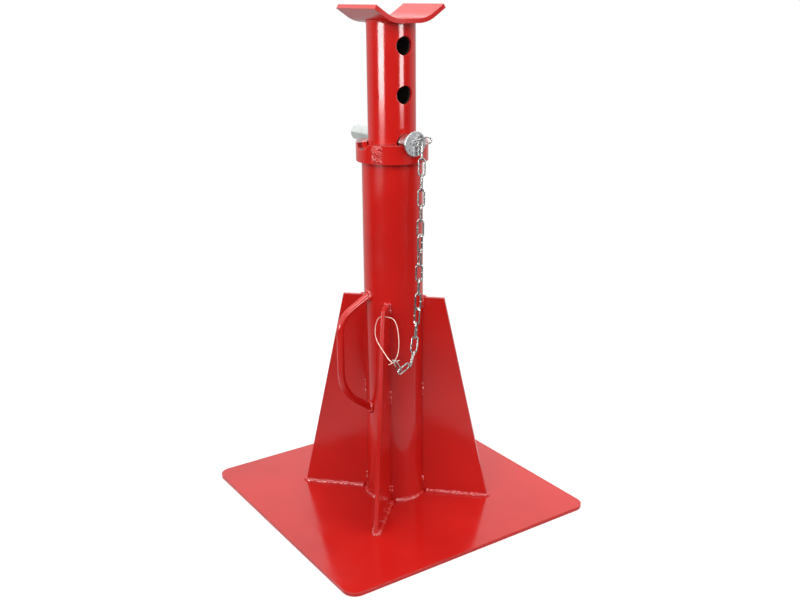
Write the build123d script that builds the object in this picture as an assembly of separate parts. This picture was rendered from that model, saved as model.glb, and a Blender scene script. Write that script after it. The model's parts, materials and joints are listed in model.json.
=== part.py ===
from build123d import *
import math
import os

# Axle jack stand, millimetres. A square base plate carries a round column with four gussets.
# A drilled ram slides in the column, and a chained pin through the ram rests in the collar's notches.
# The origin is at the centre of the plate's underside, +Z is up, and the load pin lies along Y.

# Driving dimensions
SHEET = 5.0
PLATE_SIDE = 400.0
PLATE_CORNER_RADIUS = 18.0

COLUMN_RADIUS = 41.5
COLUMN_WALL = 8.0
COLUMN_TOP = 526.0

COLLAR_RADIUS = 49.0
COLLAR_HEIGHT = 25.0
NOTCH_RADIUS = 16.0

GUSSET_TOP_REACH = 72.5
GUSSET_FOOT_REACH = 138.5
GUSSET_TOP = 308.0
TETHER_HOLE_RADIUS = 2.5
TETHER_HOLE_REACH = 67.0
TETHER_HOLE_HEIGHT = 297.0

RAM_RADIUS = 32.5
RAM_WALL = 7.0
RAM_LENGTH = 460.0
RAM_TOP = 679.0
PIN_HOLE_RADIUS = 12.0
PIN_HOLE_PITCH = 62.0
PIN_HOLE_COUNT = 5
TOP_HOLE_HEIGHT = 651.0
PINNED_HOLE = 2

SADDLE_THICKNESS = 6.0
SADDLE_DEPTH = 92.0
SADDLE_FLAT_HALF = 13.0
SADDLE_BEND_RADIUS = 40.0
SADDLE_WING_ANGLE = 33.2
SADDLE_HALF_SPAN = 51.3

PIN_RADIUS = 10.5
PIN_FRONT = -52.5
PIN_BACK = 91.0
PIN_CHAMFER = 2.0
PIN_HEAD_RADIUS = 16.4
PIN_HEAD_THICKNESS = 3.0
REST_GAP = 0.3

HANDLE_RADIUS = 5.0
HANDLE_REACH = 88.8
HANDLE_TOP_WELD = 318.0
HANDLE_TOP_BEND = 289.5
HANDLE_LOW_BEND = 181.0
HANDLE_LOW_WELD = 143.5
HANDLE_TOP_BEND_RADIUS = 35.0
HANDLE_LOW_BEND_RADIUS = 60.0

CHAIN_WIRE = 2.5
CHAIN_PITCH = 20.25
CHAIN_PLAY = 0.4
CHAIN_LINK_WIDTH = 10.5
FIRST_LINK_TWIST = 45.0
HANGING_LINKS = 15
CATENARY = 9.0
CATENARY_LOW = 219.5
# Degrees that some links turn past a quarter turn, by number: the chain twists and untwists.
LINK_TWISTS = {6: 25, 7: 25, 8: 20, 9: 20, 11: -22, 12: -23, 13: -23, 14: -22}

# The first chain link is welded to the pin head and leans out of it.
PIN_LINK_HEADING = -43.0
PIN_LINK_RISE = 17.5
PIN_LINK_BURIED = 3.0
CHAIN_HANG_DISTANCE = 7.8

# The tail's first link lies nearly level, and its second slopes up to the tether wire.
TAIL_LEVEL_SLOPE = -13.0
TAIL_RISING_SLOPE = 57.0

TETHER_WIRE_RADIUS = 0.8
TETHER_LEAN = 27.0
TETHER_TIP = (18.0, 65.0)

# Worked out from the driving dimensions
PINNED_HOLE_HEIGHT = TOP_HOLE_HEIGHT - PINNED_HOLE * PIN_HOLE_PITCH
PIN_HEIGHT = PINNED_HOLE_HEIGHT + PIN_HOLE_RADIUS - PIN_RADIUS - REST_GAP
NOTCH_BOTTOM = PIN_HEIGHT - PIN_RADIUS - REST_GAP
PIN_FACE = Vector(0, PIN_FRONT - PIN_HEAD_THICKNESS, PIN_HEIGHT)
LINK_INNER_LENGTH = CHAIN_PITCH + CHAIN_PLAY
LINK_HALF_LENGTH = (LINK_INNER_LENGTH + CHAIN_WIRE) / 2
LINK_HALF_WIDTH = (CHAIN_LINK_WIDTH - CHAIN_WIRE) / 2
UP = Vector(0, 0, 1)
OUTWARD_FRONT = Vector(-1, -1, 0).normalized()
SIDE_FRONT = Vector(1, -1, 0).normalized()
TETHER_HOLE = OUTWARD_FRONT * TETHER_HOLE_REACH + UP * TETHER_HOLE_HEIGHT


def upright_cylinder(radius, bottom, top):
    return Pos(0, 0, bottom) * Cylinder(
        radius, top - bottom, align=(Align.CENTER, Align.CENTER, Align.MIN)
    )


def tube(radius, wall, bottom, top):
    return upright_cylinder(radius, bottom, top) - upright_cylinder(radius - wall, bottom, top)


def bar_along_y(radius, low_y, high_y, height):
    face = Plane(origin=(0, low_y, height), x_dir=(1, 0, 0), z_dir=(0, 1, 0)) * Circle(radius)
    return extrude(face, high_y - low_y, dir=(0, 1, 0))


def make_base_plate():
    outline = RectangleRounded(PLATE_SIDE, PLATE_SIDE, PLATE_CORNER_RADIUS)
    return extrude(outline, SHEET)


def make_gusset(heading, tether_hole):
    """One upright trapezium of sheet on a diagonal of the plate, coped to the column."""
    side = Plane(origin=(0, 0, 0), x_dir=(1, 0, 0), z_dir=(0, -1, 0))
    root = COLUMN_RADIUS - COLUMN_WALL / 2
    corners = [
        (root, SHEET),
        (GUSSET_FOOT_REACH, SHEET),
        (GUSSET_TOP_REACH, GUSSET_TOP),
        (root, GUSSET_TOP),
    ]
    face = side * make_face(Polyline(*corners, close=True).edges())
    sheet = extrude(face, SHEET / 2, both=True)
    sheet -= upright_cylinder(COLUMN_RADIUS, 0, COLUMN_TOP)
    if tether_hole:
        hole = side * Pos(TETHER_HOLE_REACH, TETHER_HOLE_HEIGHT) * Circle(TETHER_HOLE_RADIUS)
        sheet -= extrude(hole, SHEET, both=True)
    return Rot(0, 0, heading) * sheet


def notch_cutters():
    """Two crossed round bars, which cut the four pin notches into the column's rim."""
    axis_height = NOTCH_BOTTOM + NOTCH_RADIUS
    bar = bar_along_y(NOTCH_RADIUS, -2 * COLLAR_RADIUS, 2 * COLLAR_RADIUS, axis_height)
    return [bar, Rot(0, 0, 90) * bar]


def make_column_tube():
    column = tube(COLUMN_RADIUS, COLUMN_WALL, SHEET, COLUMN_TOP)
    for cutter in notch_cutters():
        column -= cutter
    return column


def make_collar():
    wall = COLLAR_RADIUS - COLUMN_RADIUS
    collar = tube(COLLAR_RADIUS, wall, COLUMN_TOP - COLLAR_HEIGHT, COLUMN_TOP)
    for cutter in notch_cutters():
        collar -= cutter
    return collar


def make_carry_handle():
    """A bent round bar in the XZ plane, its ends coped to the column."""
    start_x = -(COLUMN_RADIUS - HANDLE_RADIUS)
    path = FilletPolyline(
        (start_x, 0, HANDLE_TOP_WELD),
        (-HANDLE_REACH, 0, HANDLE_TOP_BEND),
        (-HANDLE_REACH, 0, HANDLE_LOW_BEND),
        (start_x, 0, HANDLE_LOW_WELD),
        radius=[HANDLE_TOP_BEND_RADIUS, HANDLE_LOW_BEND_RADIUS],
    )
    start = Plane(origin=path @ 0, z_dir=path % 0)
    bar = sweep(start * Circle(HANDLE_RADIUS), path=path)
    return bar - upright_cylinder(COLUMN_RADIUS, 0, COLUMN_TOP)


def saddle_curve(offset):
    """The saddle's right-hand half outline, at a distance below its upper face."""
    turn = math.radians(SADDLE_WING_ANGLE)
    radius = SADDLE_BEND_RADIUS + offset
    top = RAM_TOP + SADDLE_THICKNESS
    centre_height = top + SADDLE_BEND_RADIUS
    bend_end = (
        SADDLE_FLAT_HALF + radius * math.sin(turn),
        centre_height - radius * math.cos(turn),
    )
    wing = (SADDLE_HALF_SPAN - SADDLE_FLAT_HALF - SADDLE_BEND_RADIUS * math.sin(turn)) / math.cos(turn)
    tip = (bend_end[0] + wing * math.cos(turn), bend_end[1] + wing * math.sin(turn))
    flat_end = (SADDLE_FLAT_HALF, centre_height - radius)
    bend_middle = (
        SADDLE_FLAT_HALF + radius * math.sin(turn / 2),
        centre_height - radius * math.cos(turn / 2),
    )
    return flat_end, bend_middle, bend_end, tip


def mirrored(point):
    return -point[0], point[1]


def saddle_lines(offset):
    flat_end, bend_middle, bend_end, tip = saddle_curve(offset)
    return [
        Line(mirrored(tip), mirrored(bend_end)),
        ThreePointArc(mirrored(bend_end), mirrored(bend_middle), mirrored(flat_end)),
        Line(mirrored(flat_end), flat_end),
        ThreePointArc(flat_end, bend_middle, bend_end),
        Line(bend_end, tip),
    ]


def saddle_extrusion(lines, half_depth):
    profile_plane = Plane(origin=(0, 0, 0), x_dir=(1, 0, 0), z_dir=(0, -1, 0))
    edges = [edge for line in lines for edge in line.edges()]
    return extrude(profile_plane * make_face(edges), half_depth, both=True)


def make_saddle():
    """A bent plate with a flat middle and two raised wings."""
    upper_tip = saddle_curve(0)[3]
    lower_tip = saddle_curve(SADDLE_THICKNESS)[3]
    lines = saddle_lines(0) + saddle_lines(SADDLE_THICKNESS)
    lines += [Line(upper_tip, lower_tip), Line(mirrored(upper_tip), mirrored(lower_tip))]
    return saddle_extrusion(lines, SADDLE_DEPTH / 2)


def make_ram_tube():
    """The drilled inner tube, its top coped to the saddle's underside."""
    bottom = RAM_TOP - RAM_LENGTH
    ram = tube(RAM_RADIUS, RAM_WALL, bottom, RAM_TOP + SADDLE_BEND_RADIUS)
    lower_tip = saddle_curve(SADDLE_THICKNESS)[3]
    ceiling = RAM_TOP + 2 * SADDLE_BEND_RADIUS
    above = saddle_lines(SADDLE_THICKNESS) + [
        Line(lower_tip, (lower_tip[0], ceiling)),
        Line((lower_tip[0], ceiling), (-lower_tip[0], ceiling)),
        Line((-lower_tip[0], ceiling), mirrored(lower_tip)),
    ]
    ram -= saddle_extrusion(above, SADDLE_DEPTH / 2)
    for index in range(PIN_HOLE_COUNT):
        height = TOP_HOLE_HEIGHT - index * PIN_HOLE_PITCH
        ram -= bar_along_y(PIN_HOLE_RADIUS, -COLUMN_RADIUS, COLUMN_RADIUS, height)
    return ram


def make_load_pin():
    pin = bar_along_y(PIN_RADIUS, PIN_FRONT, PIN_BACK, PIN_HEIGHT)
    far_edge = pin.edges().filter_by(GeomType.CIRCLE).sort_by(Axis.Y)[-1]
    return chamfer(far_edge, PIN_CHAMFER)


def make_pin_head():
    head = bar_along_y(PIN_HEAD_RADIUS, PIN_FRONT - PIN_HEAD_THICKNESS, PIN_FRONT, PIN_HEIGHT)
    front_edge = head.edges().filter_by(GeomType.CIRCLE).sort_by(Axis.Y)[0]
    return fillet(front_edge, PIN_HEAD_THICKNESS / 4)


def make_link(centre, along, normal):
    """A welded chain link: an oval ring of round wire about its centre."""
    half_straight = LINK_HALF_LENGTH - LINK_HALF_WIDTH
    corners = [
        (-half_straight, -LINK_HALF_WIDTH),
        (half_straight, -LINK_HALF_WIDTH),
        (half_straight, LINK_HALF_WIDTH),
        (-half_straight, LINK_HALF_WIDTH),
    ]
    ring = Wire(
        [
            Edge.make_line(corners[0], corners[1]),
            Edge.make_three_point_arc(corners[1], (LINK_HALF_LENGTH, 0), corners[2]),
            Edge.make_line(corners[2], corners[3]),
            Edge.make_three_point_arc(corners[3], (-LINK_HALF_LENGTH, 0), corners[0]),
        ]
    )
    section = Plane(origin=corners[0], z_dir=(1, 0, 0)) * Circle(CHAIN_WIRE / 2)
    return Plane(origin=centre, x_dir=along, z_dir=normal) * sweep(section, path=ring)


def pin_link_directions():
    """The pin link's long direction, and the upward direction across it."""
    heading = math.radians(PIN_LINK_HEADING)
    rise = math.radians(PIN_LINK_RISE)
    level = Vector(math.cos(heading), math.sin(heading), 0)
    along = level * math.cos(rise) + UP * math.sin(rise)
    across = UP * math.cos(rise) - level * math.sin(rise)
    return along, across


def make_pin_link():
    """The link that is welded by one end to the middle of the pin head."""
    along, across = pin_link_directions()
    centre = PIN_FACE + along * (LINK_HALF_LENGTH + CHAIN_WIRE / 2 - PIN_LINK_BURIED)
    link = make_link(centre, along, along.cross(across))
    behind = Pos(PIN_FACE) * Box(60, 30, 60, align=(Align.CENTER, Align.MIN, Align.CENTER))
    return link - behind


def chain_top():
    """Where the first hanging link bears on the pin link's lower side."""
    along, across = pin_link_directions()
    wire_middle = PIN_FACE + along * CHAIN_HANG_DISTANCE - across * LINK_HALF_WIDTH
    return wire_middle + UP * (CHAIN_WIRE / 2 + CHAIN_PLAY)


def tether_directions():
    """Across and down the plane of the tether wire's loop."""
    lean = math.radians(TETHER_LEAN)
    return SIDE_FRONT, OUTWARD_FRONT * math.sin(lean) - UP * math.cos(lean)


def tether_path():
    """The tether wire's middle line: a closed loop that leans out over the gusset's edge."""
    side, down = tether_directions()
    lay = Plane(origin=TETHER_HOLE, x_dir=side, z_dir=side.cross(down))
    corners = [(-10.5, -1.0), (-10.5, 28.0), TETHER_TIP, (25.0, 42.0), (20.0, -1.0)]
    return lay * FilletPolyline(*corners, radius=[6.0, 18.0, 4.5, 30.0, 12.0], close=True)


def tether_end():
    """The point of the tether wire furthest along the chain's pull, sideways and down."""
    side, down = tether_directions()
    far_along_pull = TETHER_HOLE + (side + down) * PLATE_SIDE
    return tether_path().distance_to_with_closest_points(far_along_pull)[1]


def hanging_direction():
    """The level direction of the upright plane that the chain hangs in."""
    level = tether_end() - chain_top()
    return Vector(level.X, level.Y, 0).normalized()


def catenary_height(distance):
    return CATENARY_LOW + CATENARY * (math.cosh(distance / CATENARY) - 1)


def next_joint(distance):
    """The catenary's next joint, one chain pitch away along a straight link."""
    height = catenary_height(distance)
    near, far = distance, distance + CHAIN_PITCH
    for _ in range(50):
        middle = (near + far) / 2
        if math.hypot(middle - distance, catenary_height(middle) - height) < CHAIN_PITCH:
            near = middle
        else:
            far = middle
    return near


def hanging_joints():
    """Joints of the run that hangs from the pin, from the top one down."""
    top = chain_top()
    across = hanging_direction()
    top_distance = -CATENARY * math.acosh((top.Z - CATENARY_LOW) / CATENARY + 1)
    distance = top_distance
    joints = [top]
    for _ in range(HANGING_LINKS):
        distance = next_joint(distance)
        level = top + across * (distance - top_distance)
        joints.append(Vector(level.X, level.Y, catenary_height(distance)))
    return joints


def make_hanging_links():
    """Links between neighbouring joints, each about a quarter turn from the one before."""
    joints = hanging_joints()
    twist = math.radians(FIRST_LINK_TWIST)
    across = hanging_direction()
    width = across * math.cos(twist) + UP.cross(across) * math.sin(twist)
    links = {}
    for index in range(HANGING_LINKS):
        top, bottom = joints[index], joints[index + 1]
        along = (bottom - top).normalized()
        width = (width - along * width.dot(along)).normalized()
        width = width.rotate(Axis((0, 0, 0), along), LINK_TWISTS.get(index + 1, 0))
        normal = width.cross(along)
        links[f"chain_link_{index + 1:02d}"] = make_link((top + bottom) / 2, along, normal)
        width = normal
    return links


def make_tail_links():
    """The nearly level link, and the one that rises from its end bend to the tether wire."""
    across = hanging_direction()
    level_slope = math.radians(TAIL_LEVEL_SLOPE)
    rising_slope = math.radians(TAIL_RISING_SLOPE)
    level = across * math.cos(level_slope) + UP * math.sin(level_slope)
    rising = across * math.cos(rising_slope) + UP * math.sin(rising_slope)
    plane_normal = UP.cross(across)
    hook = LINK_INNER_LENGTH / 2 - TETHER_WIRE_RADIUS - CHAIN_PLAY
    bend = LINK_HALF_LENGTH + LINK_HALF_WIDTH - CHAIN_WIRE - CHAIN_PLAY
    rising_centre = tether_end() - rising * hook
    level_centre = rising_centre - rising * bend - level * (LINK_HALF_LENGTH - LINK_HALF_WIDTH)
    return {
        f"chain_link_{HANGING_LINKS + 1:02d}": make_link(level_centre, level, plane_normal),
        f"chain_link_{HANGING_LINKS + 2:02d}": make_link(
            rising_centre, rising, plane_normal.cross(rising)
        ),
    }


def make_tether_wire():
    """A ring of thin stiff wire through the front gusset's hole."""
    path = tether_path()
    section = Plane(origin=path @ 0, z_dir=path % 0) * Circle(TETHER_WIRE_RADIUS)
    return sweep(section, path=path.wires()[0])


def main():
    shapes = {
        "base_plate": make_base_plate(),
        "gusset_front": make_gusset(225, True),
        "gusset_right": make_gusset(315, False),
        "gusset_back": make_gusset(45, False),
        "gusset_left": make_gusset(135, False),
        "column_tube": make_column_tube(),
        "notched_collar": make_collar(),
        "carry_handle": make_carry_handle(),
        "ram_tube": make_ram_tube(),
        "saddle": make_saddle(),
        "load_pin": make_load_pin(),
        "pin_head": make_pin_head(),
        "pin_link": make_pin_link(),
        "tether_wire": make_tether_wire(),
    }
    shapes.update(make_hanging_links())
    shapes.update(make_tail_links())
    os.makedirs("parts", exist_ok=True)
    for node, shape in shapes.items():
        export_step(shape, f"parts/{node}.step")


main()
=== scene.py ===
"""Looks for the axle jack stand: glossy red enamel, weld beads, zinc pin, chain and tether wire."""

import json
import math
import random

import bpy
import numpy as np
from mathutils import Matrix, Vector


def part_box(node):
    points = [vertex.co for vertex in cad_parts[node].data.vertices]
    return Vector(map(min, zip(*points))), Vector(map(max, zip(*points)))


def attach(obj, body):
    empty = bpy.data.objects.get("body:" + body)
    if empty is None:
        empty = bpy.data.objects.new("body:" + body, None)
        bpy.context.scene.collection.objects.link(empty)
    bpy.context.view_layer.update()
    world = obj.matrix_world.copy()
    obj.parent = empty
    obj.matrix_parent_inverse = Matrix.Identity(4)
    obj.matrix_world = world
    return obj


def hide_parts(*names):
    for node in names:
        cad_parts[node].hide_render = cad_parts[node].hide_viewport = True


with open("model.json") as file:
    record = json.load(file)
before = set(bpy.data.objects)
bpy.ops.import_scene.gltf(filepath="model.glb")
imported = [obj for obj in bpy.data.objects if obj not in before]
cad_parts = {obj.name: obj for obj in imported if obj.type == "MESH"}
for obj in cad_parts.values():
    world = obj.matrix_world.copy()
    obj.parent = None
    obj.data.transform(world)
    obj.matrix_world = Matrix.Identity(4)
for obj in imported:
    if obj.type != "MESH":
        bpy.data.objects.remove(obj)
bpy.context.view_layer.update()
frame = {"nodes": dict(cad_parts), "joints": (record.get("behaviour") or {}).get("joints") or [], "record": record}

UP = Vector((0, 0, 1))
RED_NODES = [
    "base_plate",
    "gusset_front",
    "gusset_right",
    "gusset_back",
    "gusset_left",
    "carry_handle",
]
GUSSET_HEADINGS = {
    "gusset_front": 225,
    "gusset_right": 315,
    "gusset_back": 45,
    "gusset_left": 135,
}
CHAIN_NODES = ["pin_link"] + [f"chain_link_{number:02d}" for number in range(1, 18)]

# Sizes of the steel, in metres
PLATE_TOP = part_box("base_plate")[1].z
COLUMN_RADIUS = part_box("column_tube")[1].x
COLUMN_BORE = 0.0335
COLLAR_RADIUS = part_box("notched_collar")[1].x
COLLAR_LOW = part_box("notched_collar")[0].z
COLLAR_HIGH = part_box("notched_collar")[1].z
RAM_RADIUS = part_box("ram_tube")[1].x
RAM_BORE = 0.0285
GUSSET_HALF_THICKNESS = 0.0025
GUSSET_FOOT_REACH = 0.1385
GUSSET_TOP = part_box("gusset_front")[1].z
HANDLE_BAR_RADIUS = 0.005
HANDLE_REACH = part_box("carry_handle")[0].x + HANDLE_BAR_RADIUS
HANDLE_TOP_WELD = 0.318
HANDLE_TOP_BEND = 0.2895
HANDLE_LOW_BEND = 0.181
HANDLE_LOW_WELD = 0.1435
SADDLE_FLAT_HALF = 0.013
SADDLE_UNDER_RADIUS = 0.046
SADDLE_FLAT_HEIGHT = 0.679
LINK_HALF_WIDTH = 0.004
LINK_WIRE_RADIUS = 0.00125


# Shader building blocks. Each adds nodes to a material's or world's tree.


def grow_material(name):
    """A new material, its node tree and its shader."""
    material = bpy.data.materials.new(name)
    material.use_nodes = True
    tree = material.node_tree
    return material, tree, tree.nodes["Principled BSDF"]


def object_place(tree):
    return tree.nodes.new("ShaderNodeTexCoord").outputs["Object"]


def stretched(tree, source, scale):
    mapping = tree.nodes.new("ShaderNodeMapping")
    mapping.inputs["Scale"].default_value = scale
    tree.links.new(source, mapping.inputs["Vector"])
    return mapping.outputs["Vector"]


def add_noise(tree, source, scale, detail=3.0, roughness=0.5):
    noise = tree.nodes.new("ShaderNodeTexNoise")
    noise.inputs["Scale"].default_value = scale
    noise.inputs["Detail"].default_value = detail
    noise.inputs["Roughness"].default_value = roughness
    tree.links.new(source, noise.inputs["Vector"])
    return noise.outputs["Fac"]


def add_range(tree, value, low, high, out_low, out_high):
    """Maps a value from low to high onto out_low to out_high, and stops at both ends."""
    mapped = tree.nodes.new("ShaderNodeMapRange")
    mapped.inputs["From Min"].default_value = low
    mapped.inputs["From Max"].default_value = high
    mapped.inputs["To Min"].default_value = out_low
    mapped.inputs["To Max"].default_value = out_high
    tree.links.new(value, mapped.inputs["Value"])
    return mapped.outputs["Result"]


def add_mix(tree, factor, first, second):
    """Mixes two colours; each is a socket or a plain colour."""
    mix = tree.nodes.new("ShaderNodeMix")
    mix.data_type = "RGBA"
    tree.links.new(factor, mix.inputs["Factor"])
    for value, socket in ((first, mix.inputs["A"]), (second, mix.inputs["B"])):
        if isinstance(value, bpy.types.NodeSocket):
            tree.links.new(value, socket)
        else:
            socket.default_value = (*value, 1.0)
    return mix.outputs["Result"]


def add_math(tree, operation, first, second):
    result = tree.nodes.new("ShaderNodeMath")
    result.operation = operation
    tree.links.new(first, result.inputs[0])
    tree.links.new(second, result.inputs[1])
    return result.outputs["Value"]


def add_length(tree, vector):
    length = tree.nodes.new("ShaderNodeVectorMath")
    length.operation = "LENGTH"
    tree.links.new(vector, length.inputs[0])
    return length.outputs["Value"]


def add_bump(tree, height, strength, distance, normal):
    bump = tree.nodes.new("ShaderNodeBump")
    bump.inputs["Strength"].default_value = strength
    bump.inputs["Distance"].default_value = distance
    tree.links.new(height, bump.inputs["Height"])
    tree.links.new(normal, bump.inputs["Normal"])
    return bump.outputs["Normal"]


def add_rounding(tree, radius):
    """The surface's normal with its sharp edges rounded off."""
    rounding = tree.nodes.new("ShaderNodeBevel")
    rounding.samples = 6
    rounding.inputs["Radius"].default_value = radius
    return rounding.outputs["Normal"]


def add_edges_worn_and_highlighted(tree, place, rounded):
    """How much a spot's colour is lightened, 0 to 1: on edges, in patches; partly rubbed paint, partly a painted
    highlight on the edges.
    """
    facing = tree.nodes.new("ShaderNodeVectorMath")
    facing.operation = "DOT_PRODUCT"
    tree.links.new(rounded, facing.inputs[0])
    tree.links.new(tree.nodes.new("ShaderNodeNewGeometry").outputs["Normal"], facing.inputs[1])
    edge = add_range(tree, facing.outputs["Value"], 0.80, 0.98, 1.0, 0.0)
    rubbing = add_noise(tree, place, 85.0, 4.0)
    patches = add_range(tree, rubbing, 0.42, 0.60, 0.1, 0.9)
    return add_math(tree, "MULTIPLY", edge, patches)


def add_specks(tree, place):
    """Dark specks in the paint, few and far between: 0 to 0.7."""
    specks = tree.nodes.new("ShaderNodeTexVoronoi")
    specks.inputs["Scale"].default_value = 55.0
    tree.links.new(place, specks.inputs["Vector"])
    near = add_range(tree, specks.outputs["Distance"], 0.030, 0.045, 1.0, 0.0)
    rare = add_range(tree, add_noise(tree, place, 31.0), 0.60, 0.64, 0.0, 0.7)
    return add_math(tree, "MULTIPLY", near, rare)


# Red enamel

PAINT_DARK = (0.45, 0.0075, 0.0055)
PAINT_LIGHT = (0.53, 0.0110, 0.0080)
PAINT_SPECK = (0.10, 0.004, 0.004)
# Paler pink on the edges: thin, rubbed paint, and a painted highlight that makes the edges look lit
PAINT_WORN_AND_HIGHLIGHT = (0.56, 0.034, 0.026)
WORN_ROUGHNESS = 0.42
PAINT_EDGE_RADIUS = 0.0011
PLAIN_GLOSS = 0.5

# The colour and least roughness painted on surfaces inside a tube or a ring, as painted shade in the hollow
# Near black inside the column and ram: unpainted steel in the bore, darkened as painted shade
BORE_PAINTED_SHADE = ((0.012, 0.009, 0.008), 0.8)
# Dark red on the collar's rim, notches and bore: painted shade
COLLAR_INNER_PAINTED_SHADE = ((0.17, 0.0035, 0.0030), 0.22)
INNER_BLEND = 0.0006


def enamel(name, inner_radius=None, inner_shade=BORE_PAINTED_SHADE, lumps=0.0, gloss=PLAIN_GLOSS):
    """Gloss red enamel over steel, its edges lightened as a painted highlight. Surfaces within inner_radius of the
    axis are darkened as painted shade, with another roughness.
    """
    material, tree, shader = grow_material(name)
    place = object_place(tree)

    tone = add_range(tree, add_noise(tree, place, 7.0, 4.0), 0.35, 0.65, 0.0, 1.0)
    colour = add_mix(tree, tone, PAINT_DARK, PAINT_LIGHT)
    colour = add_mix(tree, add_specks(tree, place), colour, PAINT_SPECK)
    rounded = add_rounding(tree, PAINT_EDGE_RADIUS)
    edge_wear_and_highlight = add_edges_worn_and_highlighted(tree, place, rounded)
    # Painted highlight: edges are lightened toward the paler pink, partly as thin, rubbed paint
    colour = add_mix(tree, edge_wear_and_highlight, colour, PAINT_WORN_AND_HIGHLIGHT)

    rough = add_range(tree, add_noise(tree, place, 16.0, 5.0), 0.3, 0.7, 0.09, 0.23)
    rubbed = add_range(tree, edge_wear_and_highlight, 0.0, 1.0, 0.0, WORN_ROUGHNESS)
    rough = add_math(tree, "MAXIMUM", rough, rubbed)

    sagging = add_noise(tree, stretched(tree, place, (1.0, 1.0, 0.25)), 60.0, 2.0)
    normal = add_bump(tree, sagging, 0.10, 0.0012, rounded)
    peel = add_noise(tree, place, 420.0, 2.0)
    normal = add_bump(tree, peel, 0.05, 0.0004, normal)
    if lumps:
        grains = add_noise(tree, place, 450.0, 3.0)
        normal = add_bump(tree, grains, lumps, 0.0009, normal)

    if inner_radius is not None:
        inner_colour, inner_rough = inner_shade
        from_axis = add_length(tree, stretched(tree, place, (1.0, 1.0, 0.0)))
        # Painted shade: surfaces within inner_radius of the axis are darkened to the inner colour
        inside = add_range(tree, from_axis, inner_radius, inner_radius + INNER_BLEND, 1.0, 0.0)
        colour = add_mix(tree, inside, colour, inner_colour)
        dull = add_range(tree, inside, 0.0, 1.0, 0.0, inner_rough)
        rough = add_math(tree, "MAXIMUM", rough, dull)

    tree.links.new(colour, shader.inputs["Base Color"])
    tree.links.new(rough, shader.inputs["Roughness"])
    tree.links.new(normal, shader.inputs["Normal"])
    shader.inputs["IOR"].default_value = 1.52
    shader.inputs["Specular IOR Level"].default_value = gloss
    return material


# Zinc plating

ZINC_EDGE_RADIUS = 0.0005


def plated(name, light, dark, low_rough, high_rough, grain):
    """Zinc-plated steel with cloudy plating, fine drawing marks, small dents and edges lightened as rubbed plating
    and as a painted highlight.
    """
    material, tree, shader = grow_material(name)
    place = object_place(tree)
    cloud = add_noise(tree, place, grain, 5.0, 0.6)
    tone = add_range(tree, cloud, 0.35, 0.65, 0.0, 1.0)
    rounded = add_rounding(tree, ZINC_EDGE_RADIUS)
    edge_wear_and_highlight = add_edges_worn_and_highlighted(tree, place, rounded)
    # Painted highlight: edges lighten toward the light zinc colour, partly as rubbed plating
    colour = add_mix(tree, edge_wear_and_highlight, add_mix(tree, tone, dark, light), light)
    rough = add_range(tree, cloud, 0.3, 0.7, high_rough, low_rough)
    rubbed = add_range(tree, edge_wear_and_highlight, 0.0, 1.0, 0.0, high_rough)
    marks = add_noise(tree, stretched(tree, place, (1.0, 0.08, 1.0)), 900.0, 2.0)
    normal = add_bump(tree, marks, 0.10, 0.0001, rounded)
    dents = add_noise(tree, place, grain, 2.0)
    normal = add_bump(tree, dents, 0.10, 0.0004, normal)
    tree.links.new(colour, shader.inputs["Base Color"])
    tree.links.new(add_math(tree, "MAXIMUM", rough, rubbed), shader.inputs["Roughness"])
    tree.links.new(normal, shader.inputs["Normal"])
    shader.inputs["Metallic"].default_value = 1.0
    return material


# Materials on the CAD's own pieces

red = enamel("red_enamel")
red_weld = enamel("red_enamel_weld", lumps=0.35, gloss=0.75)
red_seam = enamel("red_enamel_seam", lumps=1.0, gloss=0.75)
zinc = plated("zinc_plate", (0.74, 0.77, 0.75), (0.60, 0.63, 0.61), 0.22, 0.30, 60.0)
head_zinc = plated("head_zinc", (0.74, 0.76, 0.78), (0.33, 0.34, 0.35), 0.18, 0.40, 300.0)
chain_zinc = plated("chain_zinc", (0.74, 0.73, 0.70), (0.16, 0.16, 0.16), 0.15, 0.28, 260.0)
wire_zinc = plated("wire_zinc", (0.88, 0.66, 0.58), (0.62, 0.44, 0.37), 0.30, 0.45, 300.0)


def paint(node, material):
    for material_slot in frame["nodes"][node].material_slots:
        material_slot.material = material


for red_node in RED_NODES:
    paint(red_node, red)
paint("saddle", enamel("red_enamel_saddle", gloss=0.9))
# Painted shade: the column's and ram's bores are painted near black
paint("column_tube", enamel("red_enamel_column", COLUMN_BORE))
paint("ram_tube", enamel("red_enamel_ram", RAM_BORE))
# Painted shade: the collar inside its outer skin is painted darker red
paint("notched_collar", enamel("red_enamel_collar", COLLAR_RADIUS - 0.0012, COLLAR_INNER_PAINTED_SHADE))
paint("load_pin", zinc)
paint("pin_head", head_zinc)
for chain_node in CHAIN_NODES:
    paint(chain_node, chain_zinc)


# Places and lines


def heading(degrees, reach, side, height):
    """A point at a reach along a heading, a distance to its left, at a height."""
    turn = math.radians(degrees)
    out = Vector((math.cos(turn), math.sin(turn), 0))
    left_of_it = Vector((-math.sin(turn), math.cos(turn), 0))
    return out * reach + left_of_it * side + UP * height


def on_circle(radius, degrees, height):
    turn = math.radians(degrees)
    return Vector((radius * math.cos(turn), radius * math.sin(turn), height))


def resampled(points, step):
    """Points an even step apart along a polyline, and the distance to each."""
    placed, distances, travelled = [], [], 0.0
    for start, end in zip(points, points[1:]):
        length = (end - start).length
        steps = max(1, round(length / step))
        for index in range(steps):
            placed.append(start.lerp(end, index / steps))
            distances.append(travelled + length * index / steps)
        travelled += length
    return placed + [points[-1]], distances + [travelled]


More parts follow.
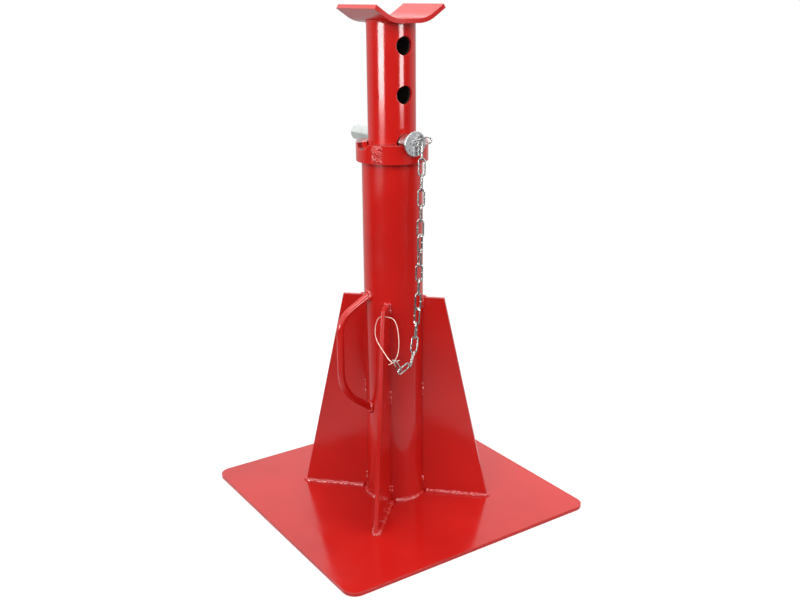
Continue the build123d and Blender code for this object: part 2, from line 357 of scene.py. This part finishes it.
def add_tube_mesh(name, centres, radii, sides, closed):
    """A round tube of changing radius along points, open or closed into a ring."""
    count = len(centres)
    rings = []
    across = None
    for index, centre in enumerate(centres):
        before = centres[index - 1] if index or closed else centre
        after = centres[(index + 1) % count] if index + 1 < count or closed else centre
        along = (after - before).normalized()
        if across is None:
            across = along.orthogonal().normalized()
        across = (across - along * across.dot(along)).normalized()
        other = along.cross(across)
        rings.append(
            [
                centre + (across * math.cos(angle) + other * math.sin(angle)) * radii[index]
                for angle in (2 * math.pi * side / sides for side in range(sides))
            ]
        )
    vertices = [point for ring in rings for point in ring]
    faces = []
    for index in range(count if closed else count - 1):
        start, following = index * sides, ((index + 1) % count) * sides
        for side in range(sides):
            beside = (side + 1) % sides
            faces.append((start + side, start + beside, following + beside, following + side))
    if not closed:
        faces.append(tuple(reversed(range(sides))))
        faces.append(tuple(range((count - 1) * sides, count * sides)))
    mesh = bpy.data.meshes.new(name)
    mesh.from_pydata([tuple(point) for point in vertices], [], faces)
    mesh.shade_smooth()
    piece = bpy.data.objects.new(name, mesh)
    bpy.context.scene.collection.objects.link(piece)
    return piece


# Weld beads

BEAD_STEP = 0.0006
BEAD_SIDES = 10
BEAD_RIPPLE = 0.0034
BEAD_LIFT = 0.0004
FOOT_BEAD = 0.0050
FOOT_RIPPLE = 0.0085
TACK_BEAD = 0.0029
TACK_HEIGHTS = [(0.017, 0.031), (0.158, 0.180), (0.293, 0.3105)]
TIP_BEAD = 0.0034
TOP_BEAD = 0.0026
HANDLE_BEAD = 0.0034
SADDLE_BEAD = 0.0010
SEAM_BEAD = 0.0028
SEAM_RIPPLE = 0.0031
SEAM_HEADING = -148.0
SEAM_SHIFTS = (-7.5, -4.5, -1.5, 1.5, 4.5, 7.5)


def weld_bead(name, points, radius, body, ripple=BEAD_RIPPLE, closed=False, material=red_weld):
    """A hand-laid bead along points: overlapping ripples, uneven width and rounded ends."""
    chance = random.Random(name)
    centres, distances = resampled(points, BEAD_STEP)
    if closed:
        centres, distances = centres[:-1], distances[:-1]
    total = distances[-1]
    phase = chance.uniform(0, math.pi)
    swell_phase = chance.uniform(0, 2 * math.pi)
    radii = []
    for distance in distances:
        beat = abs(math.sin(math.pi * distance / ripple + phase))
        swell = math.sin(2 * math.pi * distance / (ripple * 3.1) + swell_phase)
        size = radius * (0.80 + 0.16 * math.sqrt(beat) + 0.10 * swell + chance.uniform(-0.04, 0.04))
        if not closed:
            to_end = min(distance, total - distance) / radius
            size *= math.sqrt(max(0.04, 1 - (1 - min(1.0, to_end)) ** 2))
        radii.append(size)
    bead = add_tube_mesh(name, centres, radii, BEAD_SIDES, closed)
    bead.data.materials.append(material)
    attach(bead, body)


def weld_gusset(gusset, degrees):
    """Beads along a gusset's foot, three tacks up each side, its outer tip and its top."""
    on_plate = PLATE_TOP + BEAD_LIFT
    on_column = COLUMN_RADIUS + BEAD_LIFT
    for side_name, side in (("a", 1), ("b", -1)):
        lateral = side * (GUSSET_HALF_THICKNESS + BEAD_LIFT)
        foot = [
            heading(degrees, COLUMN_RADIUS + 0.003, lateral, on_plate),
            heading(degrees, GUSSET_FOOT_REACH + 0.001, lateral, on_plate),
        ]
        weld_bead(f"weld_{gusset}_foot_{side_name}", foot, FOOT_BEAD, "stand", FOOT_RIPPLE)
        for number, heights in enumerate(TACK_HEIGHTS):
            tack = [heading(degrees, on_column, lateral, height) for height in heights]
            weld_bead(f"weld_{gusset}_tack_{side_name}_{number}", tack, TACK_BEAD, "stand")
    tip = [
        heading(degrees, GUSSET_FOOT_REACH + 0.0008, across, PLATE_TOP + 0.0008)
        for across in (-TIP_BEAD, 0.0, TIP_BEAD)
    ]
    weld_bead(f"weld_{gusset}_tip", tip, TIP_BEAD, "stand")
    top = [
        heading(degrees, COLUMN_RADIUS + reach, 0.0, GUSSET_TOP + 0.0002)
        for reach in (0.0005, 0.0065)
    ]
    weld_bead(f"weld_{gusset}_top", top, TOP_BEAD, "stand")


def weld_column_base():
    """An arc of bead round the column's foot between each two gussets."""
    for number in range(4):
        start = 45 + 90 * number + 5
        arc = [
            on_circle(COLUMN_RADIUS + BEAD_LIFT, start + angle, PLATE_TOP + BEAD_LIFT)
            for angle in range(0, 81, 4)
        ]
        weld_bead(f"weld_column_base_{number}", arc, FOOT_BEAD, "stand", FOOT_RIPPLE)


def weld_handle_end(name, weld_height, bend_height):
    """A bead round the handle bar's end, where it meets the column."""
    anchor = Vector((-(COLUMN_RADIUS - HANDLE_BAR_RADIUS), 0, weld_height))
    leaning = (Vector((HANDLE_REACH, 0, bend_height)) - anchor).normalized()
    side = Vector((0, 1, 0))
    other = side.cross(leaning)
    ring = []
    for step in range(25):
        angle = 2 * math.pi * step / 24
        point = anchor + (side * math.cos(angle) + other * math.sin(angle)) * HANDLE_BAR_RADIUS
        # How far along the bar this side of it comes out of the column: a quadratic's larger root
        a = leaning.x**2 + leaning.y**2
        b = 2 * (point.x * leaning.x + point.y * leaning.y)
        c = point.x**2 + point.y**2 - (COLUMN_RADIUS + 0.0003) ** 2
        travel = (-b + math.sqrt(b * b - 4 * a * c)) / (2 * a)
        ring.append(point + leaning * travel)
    weld_bead(name, ring, HANDLE_BEAD, "stand", closed=True)


def saddle_underside(across):
    """The saddle's underside height at a distance from its middle line."""
    past = max(0.0, abs(across) - SADDLE_FLAT_HALF)
    return SADDLE_FLAT_HEIGHT + SADDLE_UNDER_RADIUS - math.sqrt(SADDLE_UNDER_RADIUS**2 - past**2)


def weld_saddle():
    """A fine bead round the ram's top, under the saddle."""
    ring = [on_circle(RAM_RADIUS + BEAD_LIFT, angle, 0.0) for angle in range(0, 361, 6)]
    for point in ring:
        point.z = saddle_underside(point.x) - 0.0006
    weld_bead("weld_saddle", ring, SADDLE_BEAD, "ram", closed=True, material=red)


def weld_collar_seam():
    """The rough patch of upright beads that closes the rolled collar."""
    for number, shift in enumerate(SEAM_SHIFTS):
        depth = 0.0014 + 0.0009 * (shift / SEAM_SHIFTS[-1]) ** 2
        seam = [
            on_circle(COLLAR_RADIUS - depth, SEAM_HEADING + shift, height)
            for height in (COLLAR_LOW + 0.0008, COLLAR_HIGH - 0.0012)
        ]
        weld_bead(
            f"weld_collar_seam_{number}", seam, SEAM_BEAD, "stand", SEAM_RIPPLE, material=red_seam
        )


for gusset, degrees in GUSSET_HEADINGS.items():
    weld_gusset(gusset, degrees)
weld_column_base()
weld_handle_end("weld_handle_top", HANDLE_TOP_WELD, HANDLE_TOP_BEND)
weld_handle_end("weld_handle_low", HANDLE_LOW_WELD, HANDLE_LOW_BEND)
weld_saddle()
weld_collar_seam()


# Tether wire

tether_joint = next(joint for joint in frame["joints"] if joint["name"] == "tether_swing")
TETHER_HOLE = Vector(tether_joint["pos_m"])
TETHER_SIDE = -Vector(tether_joint["axis"]).normalized()
TETHER_OUT = Vector((TETHER_HOLE.x, TETHER_HOLE.y, 0)).normalized()
TETHER_LEAN = math.radians(27)
TETHER_DOWN = TETHER_OUT * math.sin(TETHER_LEAN) - UP * math.cos(TETHER_LEAN)
TETHER_OUTWARD = TETHER_OUT * math.cos(TETHER_LEAN) + UP * math.sin(TETHER_LEAN)
WIRE_RADIUS = 0.00055

# Sideways, down and outward from the gusset's hole, in millimetres: in at one crossed end,
# up round the loop, through the hole, and back down to the other crossed end
WIRE_ROUTE = [
    (26.5, 56.5, 2.2),
    (22.5, 58.5, 1.2),
    (17.5, 61.0, 0.4),
    (11.5, 56.5, 0.0),
    (3.0, 45.5, 0.0),
    (-5.5, 34.5, 0.0),
    (-10.3, 24.0, 0.0),
    (-10.6, 12.0, 0.0),
    (-8.5, 2.5, 0.0),
    (-5.0, -1.0, 0.0),
    (0.0, -1.0, 0.0),
    (6.0, -1.0, 0.0),
    (14.0, 1.0, 0.0),
    (19.5, 11.0, 0.0),
    (22.8, 26.0, 0.0),
    (24.2, 40.0, 0.0),
    (22.5, 52.0, 0.0),
    (18.6, 59.5, 0.0),
    (14.0, 62.5, -1.6),
    (11.3, 63.2, -1.8),
]


def on_tether(side, down, outward):
    """A point of the tether wire, from millimetres off the hole to the frame's metres."""
    return (
        TETHER_HOLE
        + TETHER_SIDE * side / 1000
        + TETHER_DOWN * down / 1000
        + TETHER_OUTWARD * outward / 1000
    )


def add_tether_wire():
    """Thin round wire on a smooth line that passes near each point of the route."""
    name = "tether_wire_twisted"
    curve = bpy.data.curves.new(name, "CURVE")
    curve.dimensions = "3D"
    curve.bevel_depth = WIRE_RADIUS
    curve.bevel_resolution = 3
    curve.use_fill_caps = True
    spline = curve.splines.new("NURBS")
    spline.points.add(len(WIRE_ROUTE) - 1)
    for control, place in zip(spline.points, WIRE_ROUTE):
        control.co = (*on_tether(*place), 1.0)
    spline.order_u = 3
    spline.use_endpoint_u = True
    spline.resolution_u = 8
    wire = bpy.data.objects.new(name, curve)
    bpy.context.scene.collection.objects.link(wire)
    curve.materials.append(wire_zinc)
    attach(wire, "tether")
    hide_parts("tether_wire")


add_tether_wire()


# Small welds on the chain and the pin's link

LINK_WELD_STEP = 0.0003
LINK_WELD_REACH = 6
HEAD_WELD_RADIUS = 0.0019
HEAD_WELD_HALF_LENGTH = 0.0034


def link_frame(node):
    """A link's middle, long direction and width direction, from its own mesh."""
    mesh = frame["nodes"][node].data
    points = np.array([vertex.co for vertex in mesh.vertices])
    middle = (points.min(0) + points.max(0)) / 2
    directions = np.linalg.eigh(np.cov((points - points.mean(0)).T))[1]
    return Vector(middle), Vector(directions[:, 2]), Vector(directions[:, 1])


def body_of(node):
    bodies = frame["record"]["behaviour"]["bodies"]
    return next(name for name, members in bodies.items() if node in members)


def add_steel_weld(name, centres, radii, sides, body):
    weld = add_tube_mesh(name, centres, radii, sides, False)
    weld.data.materials.append(chain_zinc)
    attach(weld, body)


def weld_link(node):
    """The swelling on one side of a link, where its wire is butt welded."""
    middle, along, across = link_frame(node)
    steps = range(-LINK_WELD_REACH, LINK_WELD_REACH + 1)
    centres = [
        middle + across * LINK_HALF_WIDTH + along * step * LINK_WELD_STEP for step in steps
    ]
    radii = [LINK_WIRE_RADIUS * (0.9 + 0.34 * math.cos(math.pi * step / 14) ** 2) for step in steps]
    add_steel_weld(f"weld_{node}", centres, radii, 12, body_of(node))


def weld_pin_link():
    """Two blobs of weld, one on each side of the link on the pin's disc."""
    low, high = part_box("pin_head")
    face = Vector(((low.x + high.x) / 2, low.y, (low.z + high.z) / 2))
    for number, (shift_x, shift_z) in enumerate(((-0.0032, 0.0016), (0.0038, -0.0012))):
        start = face + Vector((shift_x, BEAD_LIFT, shift_z - HEAD_WELD_HALF_LENGTH))
        end = face + Vector((shift_x + 0.0008, BEAD_LIFT, shift_z + HEAD_WELD_HALF_LENGTH))
        centres, distances = resampled([start, end], 0.0004)
        span = distances[-1]
        radii = [
            HEAD_WELD_RADIUS * math.sqrt(max(0.05, 1 - (2 * distance / span - 1) ** 2))
            for distance in distances
        ]
        add_steel_weld(f"weld_pin_link_{number}", centres, radii, 10, "pin")


for chain_node in CHAIN_NODES[1:]:
    weld_link(chain_node)
weld_pin_link()


# Studio

CAMERA_PLACE = Vector((-0.717755, -1.088221, 0.715816))
CAMERA_YAW = math.radians(-33.806)
CAMERA_PITCH = math.radians(17.651)
CAMERA_ROLL = math.radians(-0.456)
CAMERA_LENS = 43.45
CAMERA_SENSOR = 36.0
FLOOR_RADIUS = 1.2
WHITE = (1.0, 1.0, 1.0, 1.0)

camera_heading = math.degrees(math.atan2(CAMERA_PLACE.y, CAMERA_PLACE.x))
left, right, rear = camera_heading - 48, camera_heading + 48, camera_heading + 180


def add_softbox(name, place, aim_height, size, power, spread=180, diffuse=True, glossy=True):
    """A panel of soft light at a distance, heading and height, facing the stand's middle line."""
    distance, towards, height = place
    light = bpy.data.lights.new(name, "AREA")
    light.shape = "RECTANGLE"
    light.size, light.size_y = size
    light.energy = power
    light.spread = math.radians(spread)
    box = bpy.data.objects.new(name, light)
    box.location = on_circle(distance, towards, height)
    aim = Vector((0, 0, aim_height)) - box.location
    box.rotation_euler = aim.to_track_quat("-Z", "Y").to_euler()
    box.visible_camera = False
    box.visible_diffuse = diffuse
    box.visible_glossy = glossy
    bpy.context.scene.collection.objects.link(box)


def add_world():
    """White behind the stand; lit walls that darken towards the floor, with a pale sweep behind."""
    world = bpy.data.worlds.new("studio")
    bpy.context.scene.world = world
    world.use_nodes = True
    tree = world.node_tree
    view = tree.nodes.new("ShaderNodeTexCoord").outputs["Generated"]
    split = tree.nodes.new("ShaderNodeSeparateXYZ")
    tree.links.new(view, split.inputs["Vector"])
    wall_light = add_range(tree, split.outputs["Z"], -0.03, 0.10, 0.05, 1.15)
    behind = tree.nodes.new("ShaderNodeVectorMath")
    behind.operation = "DOT_PRODUCT"
    behind.inputs[1].default_value = on_circle(-1.0, camera_heading, 0.0)
    tree.links.new(view, behind.inputs[0])
    sweep_light = add_range(tree, behind.outputs["Value"], -0.10, 0.35, 0.05, 0.60)
    walls = tree.nodes["Background"]
    walls.inputs["Color"].default_value = WHITE
    tree.links.new(add_math(tree, "MAXIMUM", wall_light, sweep_light), walls.inputs["Strength"])
    backdrop = tree.nodes.new("ShaderNodeBackground")
    backdrop.inputs["Color"].default_value = WHITE
    choose = tree.nodes.new("ShaderNodeMixShader")
    camera_ray = tree.nodes.new("ShaderNodeLightPath").outputs["Is Camera Ray"]
    tree.links.new(camera_ray, choose.inputs["Fac"])
    tree.links.new(walls.outputs["Background"], choose.inputs[1])
    tree.links.new(backdrop.outputs["Background"], choose.inputs[2])
    tree.links.new(choose.outputs["Shader"], tree.nodes["World Output"].inputs["Surface"])


def pale_floor():
    """Matt white paper that fades out to clear away from the stand."""
    material, tree, shader = grow_material("pale_floor")
    place = object_place(tree)
    paper = add_noise(tree, place, 3.0, 4.0)
    colour = add_mix(tree, paper, (0.78, 0.78, 0.78), (0.82, 0.82, 0.82))
    tree.links.new(colour, shader.inputs["Base Color"])
    shader.inputs["Roughness"].default_value = 0.8
    shader.inputs["Specular IOR Level"].default_value = 0.1
    shader.inputs["Emission Color"].default_value = WHITE
    shader.inputs["Emission Strength"].default_value = 0.12
    fade = add_range(tree, add_length(tree, place), 0.28, 0.85, 0.45, 1.0)
    clear = tree.nodes.new("ShaderNodeBsdfTransparent")
    faded = tree.nodes.new("ShaderNodeMixShader")
    tree.links.new(fade, faded.inputs["Fac"])
    tree.links.new(shader.outputs["BSDF"], faded.inputs[1])
    tree.links.new(clear.outputs["BSDF"], faded.inputs[2])
    tree.links.new(faded.outputs["Shader"], tree.nodes["Material Output"].inputs["Surface"])
    return material


def add_floor():
    mesh = bpy.data.meshes.new("floor")
    edge = [tuple(on_circle(FLOOR_RADIUS, angle, 0.0)) for angle in range(0, 360, 5)]
    mesh.from_pydata(edge, [], [tuple(range(len(edge)))])
    floor = bpy.data.objects.new("floor", mesh)
    bpy.context.scene.collection.objects.link(floor)
    mesh.materials.append(pale_floor())


def add_camera():
    forward = Vector(
        (
            -math.sin(CAMERA_YAW) * math.cos(CAMERA_PITCH),
            math.cos(CAMERA_YAW) * math.cos(CAMERA_PITCH),
            -math.sin(CAMERA_PITCH),
        )
    )
    level_right = forward.cross(UP).normalized()
    level_up = level_right.cross(forward)
    rightward = level_right * math.cos(CAMERA_ROLL) + level_up * math.sin(CAMERA_ROLL)
    upward = level_up * math.cos(CAMERA_ROLL) - level_right * math.sin(CAMERA_ROLL)
    lens = bpy.data.cameras.new("camera")
    lens.lens = CAMERA_LENS
    lens.sensor_width = CAMERA_SENSOR
    camera = bpy.data.objects.new("camera", lens)
    turned = Matrix((rightward, upward, -forward)).transposed().to_4x4()
    camera.matrix_world = Matrix.Translation(CAMERA_PLACE) @ turned
    bpy.context.scene.collection.objects.link(camera)
    bpy.context.scene.camera = camera


add_softbox("strip_left", (2.2, left, 0.54), 0.54, (1.05, 0.40), 28.5, diffuse=False)
add_softbox("strip_right", (2.2, right, 0.54), 0.54, (0.72, 0.40), 15, diffuse=False)
add_softbox("canopy", (0.9, camera_heading, 2.2), 0.35, (1.2, 0.6), 17, diffuse=False)
add_softbox("key", (1.1, left + 13, 1.15), 0.80, (0.8, 0.8), 3.3, spread=85, glossy=False)
add_softbox("fill", (1.1, right + 12, 1.15), 0.75, (0.8, 0.8), 1.7, spread=95, glossy=False)
add_softbox("overhead", (0.5, rear, 2.3), 0.0, (1.5, 1.5), 14)
add_world()
add_floor()
add_camera()
bpy.context.scene.view_settings.view_transform = "Standard"
